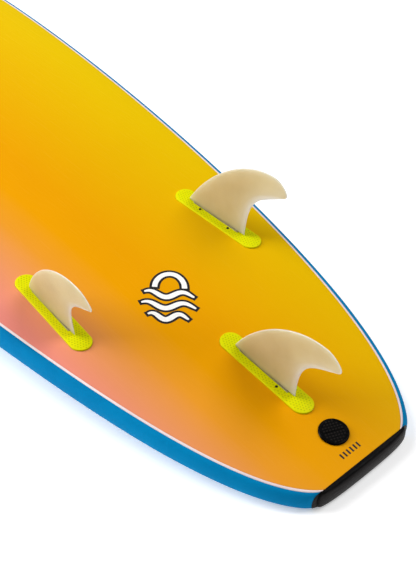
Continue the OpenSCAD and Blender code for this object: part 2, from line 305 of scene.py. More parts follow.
# --- Mesh tools -----------------------------------------------------------------------------


def add_object(name, mesh):
    obj = bpy.data.objects.new(name, mesh)
    bpy.context.scene.collection.objects.link(obj)
    return obj


def make_mesh(name, points, faces, sharp=40):
    mesh = bpy.data.meshes.new(name)
    mesh.from_pydata([Vector(p) * MM for p in points], [], faces)
    bm = bmesh.new()
    bm.from_mesh(mesh)
    bmesh.ops.remove_doubles(bm, verts=bm.verts, dist=1e-7)
    bmesh.ops.recalc_face_normals(bm, faces=bm.faces)
    bm.to_mesh(mesh)
    bm.free()
    smooth_mesh(mesh, sharp)
    return add_object(name, mesh)


def smooth_mesh(mesh, sharp):
    mesh.shade_smooth()
    mesh.set_sharp_from_angle(angle=math.radians(sharp))


def wall_faces(rows, n, first=0):
    """Faces between each ring of n points and the next."""
    faces = []
    for row in range(rows - 1):
        a = first + row * n
        for j in range(n):
            k = (j + 1) % n
            faces.append((a + j, a + k, a + n + k, a + n + j))
    return faces


def loft(name, rings, sharp=40):
    """A closed solid through rings of equal even length, whose first half faces the second."""
    n = len(rings[0])
    faces = wall_faces(len(rings), n)
    for base in (0, (len(rings) - 1) * n):
        for j in range(n // 2 - 1):
            faces.append((base + j, base + j + 1, base + n - 2 - j, base + n - 1 - j))
    return make_mesh(name, [p for ring in rings for p in ring], faces, sharp)


def ring_stacks(name, stacks, sharp):
    """Closed solids, each through its own rings, with a flat face at both ends."""
    points = []
    faces = []
    for rings in stacks:
        n = len(rings[0])
        first = len(points)
        last = first + (len(rings) - 1) * n
        faces += wall_faces(len(rings), n, first)
        faces += [tuple(range(first, first + n)), tuple(range(last, last + n))]
        points += [p for ring in rings for p in ring]
    return make_mesh(name, points, faces, sharp)


def lathe(name, profile, around=72, sharp=40):
    """A solid of revolution about Z through (radius, height) pairs that end on the axis."""
    rings = []
    for radius, height in profile:
        angles = [2 * math.pi * j / around for j in range(around)]
        rings.append([(radius * math.cos(a), radius * math.sin(a), height) for a in angles])
    points = [p for ring in rings for p in ring]
    return make_mesh(name, points, wall_faces(len(rings), around), sharp)


def block(name, size, center):
    lows = [center[k] - size[k] / 2 for k in range(3)]
    highs = [center[k] + size[k] / 2 for k in range(3)]
    rings = []
    for z in (lows[2], highs[2]):
        rings.append(
            [
                (lows[0], lows[1], z),
                (lows[0], highs[1], z),
                (highs[0], highs[1], z),
                (highs[0], lows[1], z),
            ]
        )
    return loft(name, rings)


def rod(name, diameter, low, high, around=32):
    radius = diameter / 2
    return lathe(name, [(0, low), (radius, low), (radius, high), (0, high)], around)


def move(obj, matrix):
    """Puts the mesh itself in place, so that the object stays at the origin."""
    scaled = matrix.copy()
    scaled.translation = matrix.translation * MM
    obj.data.transform(scaled)
    return obj


def apply_modifiers(obj):
    graph = bpy.context.evaluated_depsgraph_get()
    graph.update()
    done = bpy.data.meshes.new_from_object(obj.evaluated_get(graph))
    obj.modifiers.clear()
    old = obj.data
    obj.data = done
    bpy.data.meshes.remove(old)


def cut(obj, cutters, sharp=40):
    """Cuts holes in obj and removes the cutters."""
    for cutter in cutters:
        modifier = obj.modifiers.new("cut", "BOOLEAN")
        modifier.operation = "DIFFERENCE"
        modifier.solver = "EXACT"
        modifier.object = cutter
        apply_modifiers(obj)
        mesh = cutter.data
        bpy.data.objects.remove(cutter)
        bpy.data.meshes.remove(mesh)
    smooth_mesh(obj.data, sharp)


def join(name, parts, sharp=40):
    """One object out of several."""
    bm = bmesh.new()
    materials = []
    for part in parts:
        first = len(bm.faces)
        bm.from_mesh(part.data)
        bm.faces.ensure_lookup_table()
        for material in part.data.materials:
            if material not in materials:
                materials.append(material)
        for face in bm.faces[first:]:
            if part.data.materials:
                face.material_index = materials.index(part.data.materials[0])
    mesh = bpy.data.meshes.new(name)
    bm.to_mesh(mesh)
    bm.free()
    for material in materials:
        mesh.materials.append(material)
    for part in parts:
        old = part.data
        bpy.data.objects.remove(part)
        bpy.data.meshes.remove(old)
    smooth_mesh(mesh, sharp)
    return add_object(name, mesh)


# --- Material tools -------------------------------------------------------------------------


def srgb(*values):
    """Scene-linear colour for a colour given in 0-255 screen values."""
    linear = []
    for value in values:
        c = value / 255
        linear.append(c / 12.92 if c <= 0.04045 else ((c + 0.055) / 1.055) ** 2.4)
    return (*linear, 1)


class Look:
    """A procedural material with a Principled surface."""

    def __init__(self, name, **settings):
        self.material = bpy.data.materials.new(name)
        self.material.use_nodes = True
        self.nodes = self.material.node_tree.nodes
        self.links = self.material.node_tree.links
        self.surface = self.nodes["Principled BSDF"]
        self.place = self.nodes.new("ShaderNodeTexCoord").outputs["Object"]
        for key, value in settings.items():
            self.surface.inputs[key].default_value = value

    def node(self, kind, **inputs):
        node = self.nodes.new(kind)
        for key, value in inputs.items():
            self.feed(node.inputs[key], value)
        return node

    def feed(self, socket, value):
        if isinstance(value, bpy.types.NodeSocket):
            self.links.new(value, socket)
        else:
            socket.default_value = value

    def stretched(self, scale):
        node = self.node("ShaderNodeMapping", Vector=self.place)
        node.inputs["Scale"].default_value = scale
        return node.outputs["Vector"]

    def noise(self, scale, detail=3.0, place=None):
        spot = place or self.place
        node = self.node("ShaderNodeTexNoise", Vector=spot, Scale=scale, Detail=detail)
        return node.outputs["Fac"]

    def cells(self, scale):
        node = self.node("ShaderNodeTexVoronoi", Vector=self.place, Scale=scale)
        return node.outputs["Distance"]

    def span(self, value, low, high, start=0.0, end=1.0):
        node = self.node("ShaderNodeMapRange", Value=value)
        node.inputs["From Min"].default_value = low
        node.inputs["From Max"].default_value = high
        node.inputs["To Min"].default_value = start
        node.inputs["To Max"].default_value = end
        return node.outputs["Result"]

    def math(self, operation, a, b):
        node = self.nodes.new("ShaderNodeMath")
        node.operation = operation
        self.feed(node.inputs[0], a)
        self.feed(node.inputs[1], b)
        return node.outputs[0]

    def mix(self, share, a, b):
        node = self.nodes.new("ShaderNodeMix")
        node.data_type = "RGBA"
        self.feed(node.inputs["Factor"], share)
        self.feed(node.inputs["A"], a)
        self.feed(node.inputs["B"], b)
        return node.outputs["Result"]

    def ramp(self, value, stops):
        node = self.node("ShaderNodeValToRGB", Fac=value)
        elements = node.color_ramp.elements
        elements[0].position, elements[0].color = stops[0]
        elements[1].position, elements[1].color = stops[-1]
        for position, color in stops[1:-1]:
            elements.new(position).color = color
        return node.outputs["Color"]

    def drift(self, scale, detail=3.0):
        """Noise spread over 0 to 1."""
        return self.span(self.noise(scale, detail), 0.3, 0.7)

    def bumps(self, *layers):
        """Bump layers as (height, distance in metres)."""
        normal = None
        for height, distance in layers:
            node = self.node("ShaderNodeBump", Height=height)
            node.inputs["Distance"].default_value = distance
            if normal is not None:
                self.links.new(normal, node.inputs["Normal"])
            normal = node.outputs["Normal"]
        self.links.new(normal, self.surface.inputs["Normal"])

    def set(self, name, value):
        self.feed(self.surface.inputs[name], value)

    def speckled(self, light, dark, scale, detail=3.0):
        """Base colour that drifts between two shades."""
        self.set("Base Color", self.mix(self.drift(scale, detail), dark, light))


def slick_look():
    """Printed sheet: the fade runs across the board, from pink through orange to yellow."""
    look = Look("slick_print", IOR=1.45)
    look.surface.inputs["Specular IOR Level"].default_value = 0.07
    across = look.node("ShaderNodeSeparateXYZ", Vector=look.place).outputs["X"]
    drift = look.span(look.noise(2.4, 2.0), 0.3, 0.7, -0.006, 0.006)
    share = look.span(look.math("ADD", across, drift), -0.28, 0.28)
    fade = look.ramp(
        share,
        [
            (0.0, srgb(226, 126, 134)),
            (0.13, srgb(226, 135, 121)),
            (0.22, srgb(226, 144, 90)),
            (0.31, srgb(226, 148, 40)),
            (0.40, srgb(226, 152, 0)),
            (0.50, srgb(223, 152, 0)),
            (0.68, srgb(220, 166, 0)),
            (0.90, srgb(218, 180, 0)),
            (1.0, srgb(216, 184, 0)),
        ],
    )
    patchy = look.span(look.noise(9.0, 4.0), 0.3, 0.7, 0.0, 0.05)
    look.set("Base Color", look.mix(patchy, fade, srgb(208, 132, 0)))
    rub = look.noise(1.0, 6.0, look.stretched((900.0, 16.0, 200.0)))
    look.set("Roughness", look.span(rub, 0.35, 0.75, 0.2, 0.32))
    waves = look.noise(7.0, 2.0)
    grain = look.noise(900.0, 2.0)
    look.bumps((waves, 0.0012), (rub, 0.00003), (grain, 0.00002))
    return look.material


def foam_look(name, light, dark, cell, depth):
    """Closed-cell foam skin with a fine pebbled face and painted shade in the pits between the
    pebbles.
    """
    look = Look(name, IOR=1.4)
    look.surface.inputs["Specular IOR Level"].default_value = 0.04
    pebbles = look.cells(cell)
    grain = look.noise(cell * 1.7, 3.0)
    base = look.mix(look.drift(6.0, 4.0), dark, light)
    # Painted shade: the low pits of the pebbled bump are darkened towards the dark colour.
    pit_shade = look.span(pebbles, 0.0, 0.22, 0.35, 0.0)
    look.set("Base Color", look.mix(pit_shade, base, dark))
    look.set("Roughness", look.span(grain, 0.3, 0.7, 0.62, 0.78))
    look.bumps((pebbles, depth), (grain, depth * 0.4))
    return look.material


def band_look():
    """Pale plastic strip, lightly scuffed along its length."""
    look = Look("edge_band_look", IOR=1.45)
    look.surface.inputs["Specular IOR Level"].default_value = 0.3
    look.speckled(srgb(236, 220, 219), srgb(226, 208, 209), 14.0)
    scuff = look.noise(1.0, 5.0, look.stretched((300.0, 40.0, 300.0)))
    look.set("Roughness", look.span(scuff, 0.3, 0.7, 0.4, 0.55))
    look.bumps((scuff, 0.00005))
    return look.material


def plate_look(name, light, dark):
    """Dyed moulded plastic with a fine matt grain."""
    look = Look(name, IOR=1.45)
    look.surface.inputs["Specular IOR Level"].default_value = 0.06
    look.surface.inputs["Subsurface Weight"].default_value = 0.08
    look.surface.inputs["Subsurface Scale"].default_value = 0.002
    look.speckled(light, dark, 26.0, 4.0)
    grain = look.noise(1400.0, 2.0)
    look.set("Roughness", look.span(grain, 0.3, 0.7, 0.42, 0.58))
    look.bumps((grain, 0.00004), (look.noise(120.0, 3.0), 0.00008))
    return look.material


def fin_look():
    """Frosted resin. The thin edges are painted paler, standing in for the light they let
    through.
    """
    look = Look("frosted_resin", IOR=1.5)
    look.surface.inputs["Subsurface Weight"].default_value = 0.75
    look.surface.inputs["Subsurface Scale"].default_value = 0.03
    look.surface.inputs["Subsurface Radius"].default_value = (1.0, 0.95, 0.85)
    look.surface.inputs["Transmission Weight"].default_value = 0.15
    look.surface.inputs["Specular IOR Level"].default_value = 0.25
    thin = look.node("ShaderNodeAttribute")
    thin.attribute_name = "thin"
    core = look.mix(look.drift(22.0, 4.0), srgb(178, 160, 118), srgb(190, 174, 132))
    # Painted light: where the fin is thin, its colour is mixed towards a pale glow standing in
    # for light shining through it.
    look.set("Base Color", look.mix(thin.outputs["Fac"], core, srgb(228, 225, 210)))
    fibre = look.noise(1.0, 4.0, look.stretched((120.0, 900.0, 900.0)))
    look.set("Roughness", look.span(fibre, 0.3, 0.7, 0.34, 0.5))
    look.bumps((fibre, 0.00003), (look.noise(60.0, 2.0), 0.0001))
    return look.material


def bumper_look():
    """Black rubber. The outer face that looks backwards is painted paler as a painted
    reflection, broken into fine streaks of wear.
    """
    look = Look("bumper_black", IOR=1.5)
    look.surface.inputs["Specular IOR Level"].default_value = 0.05
    facing = look.node("ShaderNodeNewGeometry").outputs["Normal"]
    back = look.node("ShaderNodeSeparateXYZ", Vector=facing).outputs["Y"]
    # Painted reflection: the normal picks out the backward-facing face, which is mixed towards
    # a paler grey, with fine streaks of wear across it.
    face = look.span(back, -0.7, -0.95)
    streaks = look.noise(1.0, 5.0, look.stretched((26.0, 700.0, 620.0)))
    sheen_and_wear = look.math("MULTIPLY", face, look.span(streaks, 0.3, 0.7, 0.35, 1.0))
    look.set("Base Color", look.mix(sheen_and_wear, srgb(7, 6, 6), srgb(40, 37, 36)))
    look.set("Roughness", look.span(streaks, 0.3, 0.7, 0.3, 0.45))
    look.bumps((streaks, 0.0005), (look.cells(700.0), 0.0002))
    return look.material


def rubber_look(name, light, dark, scale, depth, rough):
    """Smooth moulded plastic or rubber with a little dust."""
    look = Look(name, IOR=1.45)
    look.surface.inputs["Specular IOR Level"].default_value = 0.06
    grain = look.noise(scale, 5.0)
    dust = look.span(look.noise(18.0, 5.0), 0.45, 0.75)
    look.set("Base Color", look.mix(dust, dark, light))
    look.set("Roughness", look.span(grain, 0.3, 0.7, rough - 0.08, rough + 0.12))
    look.bumps((look.cells(scale * 0.6), depth), (grain, depth * 0.6))
    return look.material


def steel_look(name, light, dark, rough):
    look = Look(name, Metallic=1.0)
    look.speckled(light, dark, 300.0, 4.0)
    turned = look.noise(1.0, 3.0, look.stretched((2500.0, 2500.0, 200.0)))
    look.set("Roughness", look.span(turned, 0.3, 0.7, rough, rough + 0.18))
    look.bumps((turned, 0.00002))
    return look.material


def bead_look():
    """Expanded beads of the core."""
    look = Look("bead_foam", IOR=1.35)
    beads = look.cells(240.0)
    look.set("Base Color", look.mix(beads, srgb(246, 246, 244), srgb(226, 228, 230)))
    look.set("Roughness", look.span(beads, 0.0, 0.7, 0.7, 0.9))
    look.surface.inputs["Subsurface Weight"].default_value = 0.1
    look.surface.inputs["Subsurface Scale"].default_value = 0.004
    look.bumps((beads, 0.0006))
    return look.material


def ply_look():
    look = Look("stringer_plywood")
    grain = look.noise(1.0, 6.0, look.stretched((500.0, 5.0, 240.0)))
    wood = look.mix(look.span(grain, 0.35, 0.65), srgb(196, 156, 108), srgb(226, 194, 148))
    look.set("Base Color", wood)
    look.set("Roughness", look.span(grain, 0.3, 0.7, 0.55, 0.75))
    look.bumps((grain, 0.0002))
    return look.material


def ink_look(name, light, dark):
    look = Look(name)
    look.surface.inputs["Specular IOR Level"].default_value = 0.25
    look.speckled(light, dark, 260.0, 4.0)
    look.set("Roughness", look.span(look.noise(900.0), 0.3, 0.7, 0.4, 0.55))
    look.bumps((look.noise(700.0), 0.00002))
    return look.material


SLICK = slick_look()
RAIL_BLUE = foam_look("rail_foam_blue", srgb(0, 130, 183), srgb(0, 111, 164), 520.0, 0.00028)
DECK_BLUE = foam_look("deck_foam_blue", srgb(0, 142, 194), srgb(0, 114, 166), 260.0, 0.0007)
BAND = band_look()
BUMPER = bumper_look()
YELLOW = plate_look("box_yellow", srgb(220, 218, 0), srgb(211, 211, 0))
# The dots get a darker copy of the plate's yellow: painted shade on the raised dots.
YELLOW_DOTS_SHADED = plate_look("box_dots_shaded", srgb(187, 190, 0), srgb(176, 179, 0))
FROSTED = fin_look()
BLACK_PLASTIC = rubber_look("cap_black", srgb(7, 6, 6), srgb(3, 3, 3), 900.0, 0.00005, 0.26)
# The studs get a lighter copy of the cap's black: a painted highlight on the stud faces that
# catch the light.
CAP_STUDS_LIT = rubber_look("cap_studs", srgb(36, 32, 30), srgb(28, 25, 23), 900.0, 0.00005, 0.3)
GREY_PLASTIC = rubber_look("plug_grey", srgb(58, 60, 62), srgb(40, 41, 44), 700.0, 0.0001, 0.45)
BLACK_STEEL = steel_look("screw_black", srgb(60, 60, 62), srgb(30, 30, 32), 0.32)
BRIGHT_STEEL = steel_look("bar_bright", srgb(206, 206, 208), srgb(170, 172, 176), 0.22)
BEADS = bead_look()
PLYWOOD = ply_look()
INK_BLACK = ink_look("ink_black", srgb(34, 32, 32), srgb(20, 19, 19))
INK_WHITE = ink_look("ink_white", srgb(250, 248, 246), srgb(238, 236, 232))


# --- Board pieces ---------------------------------------------------------------------------


def finish_piece(obj, material, body, node):
    """Sets what a piece is made of and what it rides on, and hides the CAD node it stands in
    for.
    """
    if material is not None:
        obj.data.materials.clear()
        obj.data.materials.append(material)
    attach(obj, body)
    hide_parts(node)


def place_on_slick(s, x):
    spot = Matrix.Translation(on_board(x, s, slick_z(s)))
    return spot @ Matrix.Rotation(slope(s), 4, "X")


def place_fin(which):
    """The fin's root on the slick, with which as -1, 0 or 1 for left, center or right."""
    s = CENTER_FIN_AT if which == 0 else SIDE_FIN_AT
    turn = Matrix.Rotation(math.radians(which * TOE), 4, "Z")
    return place_on_slick(s, which * SIDE_FIN_X) @ turn


def lean(which):
    return Matrix.Rotation(math.radians(which * CANT), 4, "Y")


def place_screw(which, end):
    if which == 0:
        side = 1 if end == "front" else -1
    else:
        side = -which
    spot = Matrix.Translation((side * SCREW_OFF, SCREW_AT[end], PLATE_PROUD + 0.4))
    tilt = Matrix.Rotation(math.radians(side * SCREW_TILT), 4, "Y")
    return place_fin(which) @ lean(which) @ spot @ tilt


def stadium(grow, steps=24):
    """Closed outline of a fin box plate, first half facing the second."""
    radius = PLATE_W / 2 + grow
    reach = (PLATE_LEN - PLATE_W) / 2
    left = []
    right = []
    for k in range(steps + 1):
        angle = math.pi / 2 * k / steps
        x = radius * math.sin(angle)
        left.append((-x, -reach - radius * math.cos(angle) - PLATE_SHIFT))
        right.append((x, -reach - radius * math.cos(angle) - PLATE_SHIFT))
    for k in range(steps + 1):
        angle = math.pi / 2 * k / steps
        x = radius * math.cos(angle)
        left.append((-x, reach + radius * math.sin(angle) - PLATE_SHIFT))
        right.append((x, reach + radius * math.sin(angle) - PLATE_SHIFT))
    return left + right[::-1]


def stadium_solid(name, levels, sharp=40):
    """A solid through (grow, height) levels of the plate's outline."""
    rings = [[(x, y, z) for x, y in stadium(grow)] for grow, z in levels]
    return loft(name, rings, sharp)


def slick_ring(s):
    """Section of the slick at s, with its two top edges eased."""
    columns = 28
    wide = half_width(s)
    z = slick_z(s)
    eased = [(max(0, wide - back), z - low) for back, low in SLICK_EDGE[1:]]
    flat = max(0, wide - SLICK_EDGE[0][0])
    top = [(-x, height) for x, height in reversed(eased)]
    top += [(flat * (2 * k / columns - 1), z) for k in range(columns + 1)]
    top += eased
    under = [(x, z - SLICK_T) for x, _ in reversed(top)]
    return [on_board(x, s, height) for x, height in top + under]


def make_slick():
    slick = loft("slick_sheet", [slick_ring(s) for s in STATIONS], 30)
    cutters = []
    for name, which in SIDES.items():
        hole = stadium_solid("hole_" + name, [(SLICK_GAP, -20), (SLICK_GAP, 20)])
        cutters.append(move(hole, place_fin(which)))
    neck = rod("neck_hole", NECK_D + ROUND_HOLE_GAP, -10, 10)
    cutters.append(move(neck, place_on_slick(CAP_AT, 0)))
    cut(slick, cutters, 30)
    finish_piece(slick, SLICK, "board", "bottom_slick")


def along_edge(name, side, outlines):
    """A strip along the slick's edge, with an (out, z) outline at each station."""
    rings = []
    for i, outline in enumerate(outlines):
        ring = []
        for out, z in outline:
            x, along = beside(i, out)
            top = slick_z(min(along, SLICK_LEN))
            ring.append(on_board(side * max(0.05, x), along, top + z))
        rings.append(ring)
    return loft(name, rings, 50)


def band_outline():
    inner = SLICK_GAP
    outer = BAND_SEEN
    inside = [(inner, -BAND_T + 0.6 * k) for k in range(3)]
    rounded = [(inner, -0.1), (0.6, 0), (1.3, -0.05), (2.3, -0.3), (outer - 0.3, -0.7)]
    outside = [(outer, -1.1), (outer, -BAND_T + 1.2), (outer, -BAND_T + 0.5), (outer, -BAND_T)]
    return inside + rounded + outside


def bulge(s):
    """How far the rail swells out past the band."""
    growth = (1 - RAIL_TAIL_SHARE) * s / RAIL_FULL_AT
    return RAIL_BULGE * min(1, RAIL_TAIL_SHARE + growth)


def rail_outline(i):
    steps = 22
    s = STATIONS[i]
    thick = rail_thick(s)
    u = max(0, (EDGE[i][0] - WALL) / (EDGE[i][0] + BAND_W))
    half = (thick - LIP) / 2
    start = BAND_SEEN + BAND_GAP
    reach = BAND_W + bulge(s) - start
    ring = [(-WALL, -BAND_T - BOND), (start, -BAND_T - BOND), (start, -LIP)]
    for k in range(1, steps):
        angle = math.radians(90 - 180 * k / steps)
        swell = start + reach * math.cos(angle) ** RAIL_POWER
        ring.append((swell, -LIP - half + half * math.sin(angle)))
    ring += [(start, -thick), (BAND_W + 0.3, -thick + DECK_T + BOND)]
    under = -thick - (full_thick(s) - thick) * (1 - u * u) + DECK_T + BOND
    ring.append((-WALL, under))
    return ring


def make_edges():
    bands = [band_outline()] * len(STATIONS)
    rails = [rail_outline(i) for i in range(len(STATIONS))]
    for name in ("left", "right"):
        side = SIDES[name]
        band = along_edge("band_strip_" + name, side, bands)
        finish_piece(band, BAND, "board", "edge_band_" + name)
        rail = along_edge("rail_wrap_" + name, side, rails)
        finish_piece(rail, RAIL_BLUE, "board", "rail_" + name)


def make_deck():
    columns = 32
    rings = []
    for i, s in enumerate(STATIONS):
        edge, along = beside(i, BAND_W)
        if i == len(STATIONS) - 1:
            edge = BAND_W
        outer = []
        inner = []
        for k in range(columns + 1):
            u = 2 * k / columns - 1
            z = deck_z(along, u)
            outer.append(on_board(edge * u, along, z))
            inner.append(on_board(edge * u, along, z + DECK_T))
        rings.append(outer + inner[::-1])
    deck = loft("deck_pad", rings, 35)
    hole = rod("cup_hole", CUP_FLANGE_D + ROUND_HOLE_GAP, -5, 25, 64)
    cut(deck, [move(hole, place_cup())], 35)
    finish_piece(deck, DECK_BLUE, "board", "deck_skin")


def place_cup():
    rise = slick_z(CAP_AT) - CUP_TALL
    s = CAP_AT + rise * math.tan(slope(CAP_AT))
    return Matrix.Translation(on_board(0, s, CUP_ABOVE_FLOOR))


def bumper_plan(level):
    """Outline of the bumper at a share of its height, from the deck up."""
    around = 40
    swell = (1 - abs(2 * level - 1) ** BUMPER_SIDE_POWER) ** (1 / BUMPER_SIDE_POWER)
    x = half_width(0) + BAND_W * min(1, 3 * swell) + bulge(0) * swell
    deep = BUMPER_FLAT + (BUMPER_OUT - BUMPER_FLAT) * swell - BUMPER_GAP
    reach = BUMPER_WRAP_MIN + BUMPER_WRAP * (1 - level ** BUMPER_WRAP_POWER)
    wrap = bumper_wrap(x, reach)
    back = []
    for k in range(2 * around + 1):
        angle = math.pi / 2 * k / around
        c = math.cos(angle)
        across = -math.copysign(x * abs(c) ** BUMPER_CORNER, c)
        behind = deep * abs(math.sin(angle)) ** BUMPER_BACK_POWER
        back.append((across, -BUMPER_GAP - behind))
    return [(-across, s) for across, s in wrap] + back + wrap[::-1]


def make_bumper():
    layers = 28
    top = slick_z(0)
    rings = []
    for v in range(layers + 1):
        level = v / layers
        rings.append([on_board(across, s, top * level) for across, s in bumper_plan(level)])
    bumper = ring_stacks("tail_pad", [rings], 50)
    finish_piece(bumper, BUMPER, "board", "tail_bumper")


def bumper_wrap(x, reach):
    """Plan of the lip that the bumper wraps round the rail's end, from inside to outside."""
    out = x - half_width(0) + BUMPER_OVER_RAIL
    plan = [(x - BUMPER_WRAP_T, -BUMPER_GAP), edge_at(reach, out - BUMPER_WRAP_T)]
    return plan + [edge_at(reach * share, out) for share in (1, 0.75, 0.5, 0.25)]


# --- Fin boxes and fins ---------------------------------------------------------------------


def inside_plate(x, y, margin):
    """Whether a point is on the plate's face, clear of its edge, slot and screw holes."""
    reach = (PLATE_LEN - PLATE_W) / 2
    along = y + PLATE_SHIFT
    past = max(0, abs(along) - reach)
    if math.hypot(x, past) > PLATE_W / 2 - margin:
        return False
    return abs(x) > TAB_T / 2 + DOT_TO_SLOT or abs(y) > TAB_LEN / 2 + DOT_TO_SLOT


def dot_rings(x, y):
    sides = 6
    rings = []
    for share, tall in DOT_RINGS:
        radius = DOT_D / 2 * share
        angles = [2 * math.pi * k / sides for k in range(sides)]
        z = PLATE_PROUD + tall
        rings.append([(x + radius * math.cos(a), y + radius * math.sin(a), z) for a in angles])
    return rings


def make_dots(name, which, screw_spots):
    """Raised dots in staggered rows on the plate's face."""
    stacks = []
    rows = int(PLATE_LEN / DOT_PITCH) + 2
    for row in range(-rows, rows + 1):
        y = row * DOT_PITCH * DOT_ROW_SHARE - PLATE_SHIFT
        for column in range(-6, 7):
            x = (column + (row % 2) / 2) * DOT_PITCH
            near = any(math.hypot(x - sx, y - sy) < DOT_TO_SCREW for sx, sy in screw_spots)
            if inside_plate(x, y, DOT_TO_EDGE) and not near:
                stacks.append(dot_rings(x, y))
    dots = ring_stacks(name, stacks, 60)
    # The dots' darker yellow is painted shade.
    dots.data.materials.append(YELLOW_DOTS_SHADED)
    return move(dots, place_fin(which))


def make_box(name, which):
    spot = place_fin(which)
    leaned = spot @ lean(which)
    levels = [
        (-0.9, PLATE_PROUD),
        (-0.45, PLATE_PROUD - 0.12),
        (-0.12, PLATE_PROUD - 0.45),
        (0, PLATE_PROUD - 0.9),
        (0, -SLICK_T),
    ]
    plate = move(stadium_solid("plate_" + name, levels, 30), spot)
    deep = BOX_SIZE[2]
    body_size = (BOX_SIZE[0], BOX_SIZE[1], deep - 0.5)
    body = block("well_" + name, body_size, (0, 0, -(deep + 0.5) / 2))
    move(body, leaned)
    for part in (plate, body):
        cut(part, slot_cutters(which, leaned), 30)
        part.data.materials.clear()
        part.data.materials.append(YELLOW)
    spots = []
    for end in SCREW_AT:
        place = spot.inverted() @ place_screw(which, end)
        spots.append((place.translation[0], place.translation[1]))
    dots = make_dots("dots_" + name, which, spots)
    box = join("fin_plate_" + name, [plate, body, dots], 35)
    finish_piece(box, None, "board", "fin_box_" + name)


def slot_cutters(which, leaned):
    width = TAB_T + 2 * SLOT_GAP
    length = TAB_LEN + 2 * SLOT_GAP
    height = TAB_DEEP + 21
    slot = block("slot", (width, length, height), (0, 0, height / 2 - TAB_DEEP - 1))
    cutters = [move(slot, leaned)]
    for end in SCREW_AT:
        hole = rod("screw_hole", SCREW_D + 0.1, *SCREW_HOLE)
        cutters.append(move(hole, place_screw(which, end)))
    return cutters


def bezier(p, t):
    r = 1 - t
    weights = (r ** 3, 3 * r * r * t, 3 * r * t * t, t ** 3)
    return Vector([sum(w * q[k] for w, q in zip(weights, p)) for k in range(2)])


def foil_ring(front, back, thick, steps):
    """Closed section of the fin, with rounded leading and trailing edges."""
    near = []
    far = []
    for k in range(steps + 1):
        c = (k / steps) ** FOIL_CROWDING
        p = front + (back - front) * c
        h = FIN_EDGE + (thick / 2 - FIN_EDGE) * FIN_FULLNESS * math.sqrt(c) * (1 - c)
        near.append((-h, p[0], p[1]))
        far.append((h, p[0], p[1]))
    along = (back - front).normalized() * FIN_EDGE * 0.8
    nose = front - along
    heel = back + along
    blunt = FIN_EDGE * 0.3
    start = [(-blunt, nose[0], nose[1])]
    end = [(-blunt, heel[0], heel[1]), (blunt, heel[0], heel[1])]
    return start + near + end + far[::-1] + [(blunt, nose[0], nose[1])]


def fin_outline(share):
    """Front and back of the fin's outline at a share of the way from its root to its tip."""
    front_share = FRONT_STEPS / (FRONT_STEPS + TIP_STEPS)
    if share <= front_share:
        front = bezier(FRONT_CURVE, share / front_share)
    else:
        past = (share - front_share) / (1 - front_share)
        front = bezier(TIP_CURVE, past * FRONT_REACH)
    back = bezier(BACK_CURVE, share ** 0.9 * BACK_REACH)
    scale = Vector((FIN_CHORD, FIN_TALL))
    return front * scale, back * scale


def make_fin(name, which):
    steps = FRONT_STEPS + TIP_STEPS
    foil_steps = 18
    rings = []
    for i in range(steps + 1):
        front, back = fin_outline(i / steps)
        thick = FIN_THICK * (1 - FIN_TIP_THINNING * (i / steps) ** FIN_THINNING_POWER)
        ring = foil_ring(front, back, thick, foil_steps)
        rings.append([(x, y, z + FIN_GAP) for x, y, z in ring])
    blade = loft("blade_" + name, rings, 60)
    tall = TAB_DEEP + FIN_GAP + 0.3
    tab = block("tab_" + name, (TAB_T, TAB_LEN, tall), (0, 0, tall / 2 - TAB_DEEP))
    paint_thin(blade)
    paint_thin(tab)
    fin = join("fin_blade_" + name, [blade, tab], 60)
    move(fin, place_fin(which) @ lean(which))
    finish_piece(fin, FROSTED, "fin_" + name, "fin_" + name)


def paint_thin(obj):
    """Stores how thin the fin is at each point, for its material."""
    layer = obj.data.attributes.new("thin", "FLOAT", "POINT")
    for vertex, item in zip(obj.data.vertices, layer.data):
        half = abs(vertex.co[0]) / MM
        item.value = max(0.0, min(1.0, 1 - half / THIN_BELOW))


# --- Leash plug, screws and the inside ------------------------------------------------------


def make_cap():
    r = CAP_D / 2
    base = 0.3
    profile = [
        (0, base),
        (r - 0.4, base),
        (r, base + 0.4),
        (r, 1.5),
        (r - 0.15, 2.1),
        (r - 0.6, 2.65),
        (r - 1.3, CAP_T + 0.1),
        (r - 2.2, CAP_T + 0.25),
        (r - 2.9, CAP_T + 0.1),
        (r - 3.2, CAP_FLOOR),
        (0, CAP_FLOOR),
    ]
    disc = lathe("cap_disc", profile, 96, 40)
    groove = block("groove", (*CAP_SLOT, 2.4), (0, 0, CAP_T + 0.3))
    cut(disc, [groove], 40)
    stem = lathe("cap_stem", stem_profile(), 48, 40)
    studs = make_studs()
    for part in (disc, stem):
        part.data.materials.append(BLACK_PLASTIC)
    # The studs' lighter colour is a painted highlight.
    studs.data.materials.append(CAP_STUDS_LIT)
    cap = join("leash_cap_knurled", [disc, stem, studs], 40)
    turn = Matrix.Rotation(math.radians(CAP_TURN), 4, "Z")
    move(cap, place_on_slick(CAP_AT, 0) @ turn)
    finish_piece(cap, None, "leash_cap", "leash_cap")


def stem_profile():
    """The threaded stem under the cap."""
    radius = STUB_D / 2
    profile = [(0, -STUB_LEN), (radius - 0.8, -STUB_LEN)]
    z = -STUB_LEN + 0.8
    while z < -THREAD_PITCH:
        profile += [(radius, z), (radius, z + 0.3), (radius - THREAD_DEEP, z + 0.9)]
        z += THREAD_PITCH
    return profile + [(radius, 0), (radius, 1), (0, 1)]


def stud_rings(x, y):
    rings = []
    for shrink, z in ((0, STUD_BASE), (STUD_TAPER, STUD_BASE + STUD_TALL)):
        half = STUD_W / 2 - shrink
        corners = ((-half, -half), (half, -half), (half, half), (-half, half))
        rings.append([(x + dx, y + dy, z) for dx, dy in corners])
    return rings


